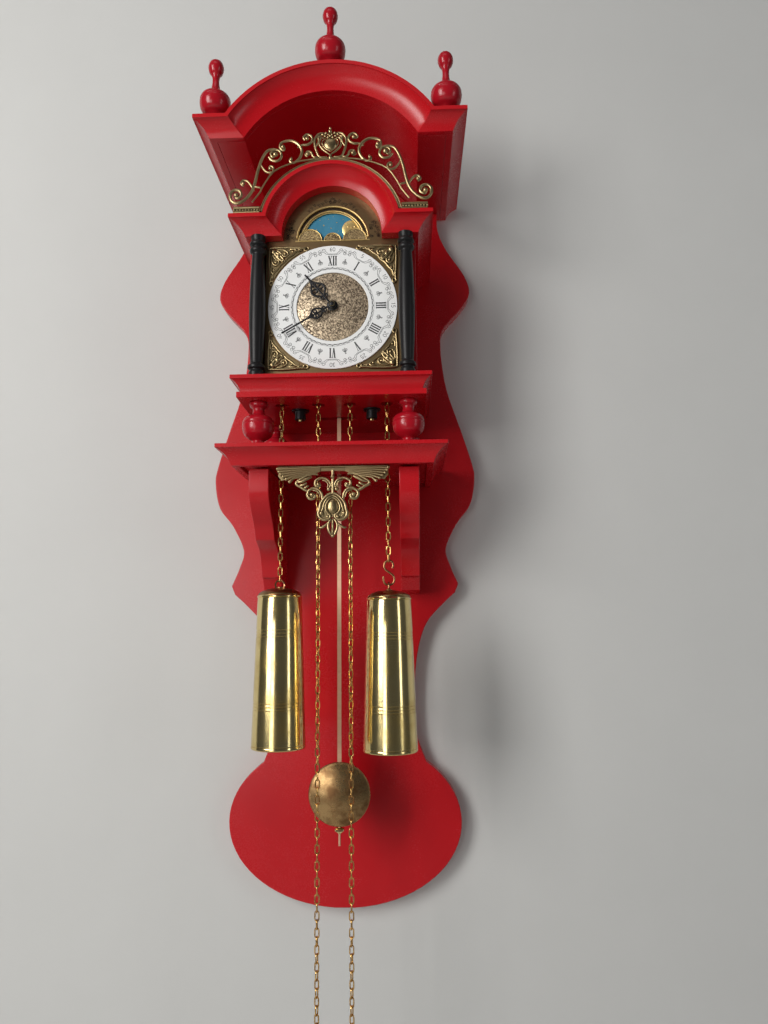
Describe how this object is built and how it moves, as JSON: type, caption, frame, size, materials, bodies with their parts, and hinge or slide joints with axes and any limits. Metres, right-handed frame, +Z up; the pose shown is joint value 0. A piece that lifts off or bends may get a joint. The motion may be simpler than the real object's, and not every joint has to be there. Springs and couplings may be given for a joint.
{
  "type": "wall clock",
  "caption": "Wall-hung weight-driven pendulum clock: shaped backboard, arched hood, columned case with moon dial, console, chains, weights and bob.",
  "frame": {"origin": "centre of the hanging hole, in the wall plane at the back of the backboard", "axes": "+Z up, +Y into the wall, +X to the viewer's right; the dial faces -Y"},
  "size_m": [0.2664, 0.167, 1.0926],
  "materials": {
    "red_paint": "smooth satin-gloss red paint on wood",
    "red_turned": "gloss red paint on turned wood",
    "ebony": "ebonised wood, satin",
    "antique_brass": "cast brass, antique patina in the hollows",
    "dial_brass": "brushed and engraved brass",
    "dial_white": null,
    "dial_matting": "matted, toned brass",
    "moon_blue": "blue painted disc",
    "black_steel": "black, satin",
    "movement_brass": "machined brass",
    "steel": "steel",
    "polished_brass": "polished",
    "chain_brass": "drawn wire, brass finish",
    "copper": "copper-coloured wire"
  },
  "bodies": {
    "case": {"backboard": "red_paint", "console_shelf": "red_paint", "console_moulding": "red_paint", "bracket_left": "red_paint", "bracket_right": "red_paint", "leg_front_left": "red_turned", "leg_front_right": "red_turned", "leg_rear_left": "red_turned", "leg_rear_right": "red_turned", "pendant_fretwork": "antique_brass", "seat_board": "red_paint", "seat_moulding": "red_paint", "case_side_left": "red_paint", "case_side_right": "red_paint", "case_vault": "red_paint", "case_cornice": "red_paint", "column_left": "ebony", "column_right": "ebony", "crest_fretwork": "antique_brass", "hood_vault": "red_paint", "hood_cornice": "red_paint", "finial_left": "red_turned", "finial_right": "red_turned", "finial_centre": "red_turned", "dial_plate": "dial_brass", "chapter_ring": "dial_white", "dial_centre": "dial_matting", "spandrels": "antique_brass", "front_plate": "movement_brass", "back_plate": "movement_brass", "plate_pillars": "movement_brass", "suspension_cock": "movement_brass", "bell": "steel", "bell_stand": "movement_brass", "thumb_nuts": "black_steel"},
    "minute": {"minute_hand": "black_steel", "minute_arbor": "movement_brass"},
    "hour": {"hour_hand": "black_steel", "hour_pipe": "movement_brass"},
    "moon": {"moon_disc": "moon_blue"},
    "great": {"great_wheel": "movement_brass"},
    "second": {"second_wheel": "movement_brass"},
    "third": {"third_wheel": "movement_brass"},
    "escape": {"escape_wheel": "movement_brass"},
    "anchor": {"anchor": "steel"},
    "pendulum": {"pendulum_rod": "polished_brass", "pendulum_bob": "polished_brass", "rating_nut": "polished_brass"},
    "time_drive": {"time_sprocket": "movement_brass"},
    "strike_drive": {"strike_sprocket": "movement_brass"},
    "hammer": {"hammer": "steel"},
    "time_load": {"time_weight": "polished_brass", "weight_hook": "copper", "time_chain_loaded": "chain_brass"},
    "strike_load": {"strike_weight": "polished_brass", "strike_chain_loaded": "chain_brass"},
    "time_tail": {"time_chain_free": "chain_brass"},
    "strike_tail": {"strike_chain_free": "chain_brass"}
  },
  "joints": [
    {"name": "minute_turn", "type": "hinge", "parent": "case", "child": "minute", "pos_m": [0, -0.07, -0.1435], "axis": [0, 1, 0], "continuous": true},
    {"name": "hour_turn", "type": "hinge", "parent": "case", "child": "hour", "pos_m": [0, -0.07, -0.1435], "axis": [0, 1, 0], "continuous": true},
    {"name": "second_wheel_turn", "type": "hinge", "parent": "case", "child": "second", "pos_m": [0.022, -0.07, -0.1449], "axis": [0, 1, 0], "continuous": true},
    {"name": "great_wheel_turn", "type": "hinge", "parent": "case", "child": "great", "pos_m": [0.0308, -0.07, -0.1755], "axis": [0, 1, 0], "continuous": true},
    {"name": "third_wheel_turn", "type": "hinge", "parent": "case", "child": "third", "pos_m": [0.01, -0.07, -0.1284], "axis": [0, 1, 0], "continuous": true},
    {"name": "escape_wheel_turn", "type": "hinge", "parent": "case", "child": "escape", "pos_m": [0, -0.07, -0.116], "axis": [0, 1, 0], "continuous": true},
    {"name": "moon_turn", "type": "hinge", "parent": "case", "child": "moon", "pos_m": [0, -0.07, -0.0835], "axis": [0, 1, 0], "continuous": true},
    {"name": "pendulum_swing", "type": "hinge", "parent": "case", "child": "pendulum", "pos_m": [0, -0.07, -0.0935], "axis": [0, 1, 0], "range_deg": [-3.5, 3.5]},
    {"name": "anchor_rock", "type": "hinge", "parent": "case", "child": "anchor", "pos_m": [0, -0.07, -0.0935], "axis": [0, 1, 0], "range_deg": [-3.5, 3.5]},
    {"name": "hammer_swing", "type": "hinge", "parent": "case", "child": "hammer", "pos_m": [0.038, -0.07, -0.1005], "axis": [0, 1, 0], "range_deg": [0, 18]},
    {"name": "time_weight_travel", "type": "slide", "parent": "case", "child": "time_load", "axis": [0, 0, 1], "range_m": [-0.06, 0.06]},
    {"name": "time_tail_travel", "type": "slide", "parent": "case", "child": "time_tail", "axis": [0, 0, 1], "range_m": [-0.06, 0.06]},
    {"name": "time_sprocket_turn", "type": "hinge", "parent": "case", "child": "time_drive", "pos_m": [0.0308, -0.07, -0.1755], "axis": [0, 1, 0], "range_deg": [-209, 209]},
    {"name": "strike_weight_travel", "type": "slide", "parent": "case", "child": "strike_load", "axis": [0, 0, 1], "range_m": [-0.06, 0.06]},
    {"name": "strike_tail_travel", "type": "slide", "parent": "case", "child": "strike_tail", "axis": [0, 0, 1], "range_m": [-0.06, 0.06]},
    {"name": "strike_sprocket_turn", "type": "hinge", "parent": "case", "child": "strike_drive", "pos_m": [-0.0308, -0.07, -0.1755], "axis": [0, 1, 0], "range_deg": [-209, 209]}
  ],
  "couplings": [
    {"joint": "hour_turn", "follows": "minute_turn", "ratio": 0.083333},
    {"joint": "second_wheel_turn", "follows": "escape_wheel_turn", "ratio": 0.030407},
    {"joint": "great_wheel_turn", "follows": "escape_wheel_turn", "ratio": -0.004955},
    {"joint": "third_wheel_turn", "follows": "escape_wheel_turn", "ratio": -0.18462},
    {"joint": "anchor_rock", "follows": "pendulum_swing", "ratio": 1},
    {"joint": "time_tail_travel", "follows": "time_weight_travel", "ratio": -1},
    {"joint": "time_sprocket_turn", "follows": "time_weight_travel", "rad_per_m": -60.241},
    {"joint": "strike_tail_travel", "follows": "strike_weight_travel", "ratio": -1},
    {"joint": "strike_sprocket_turn", "follows": "strike_weight_travel", "rad_per_m": 60.241}
  ]
}
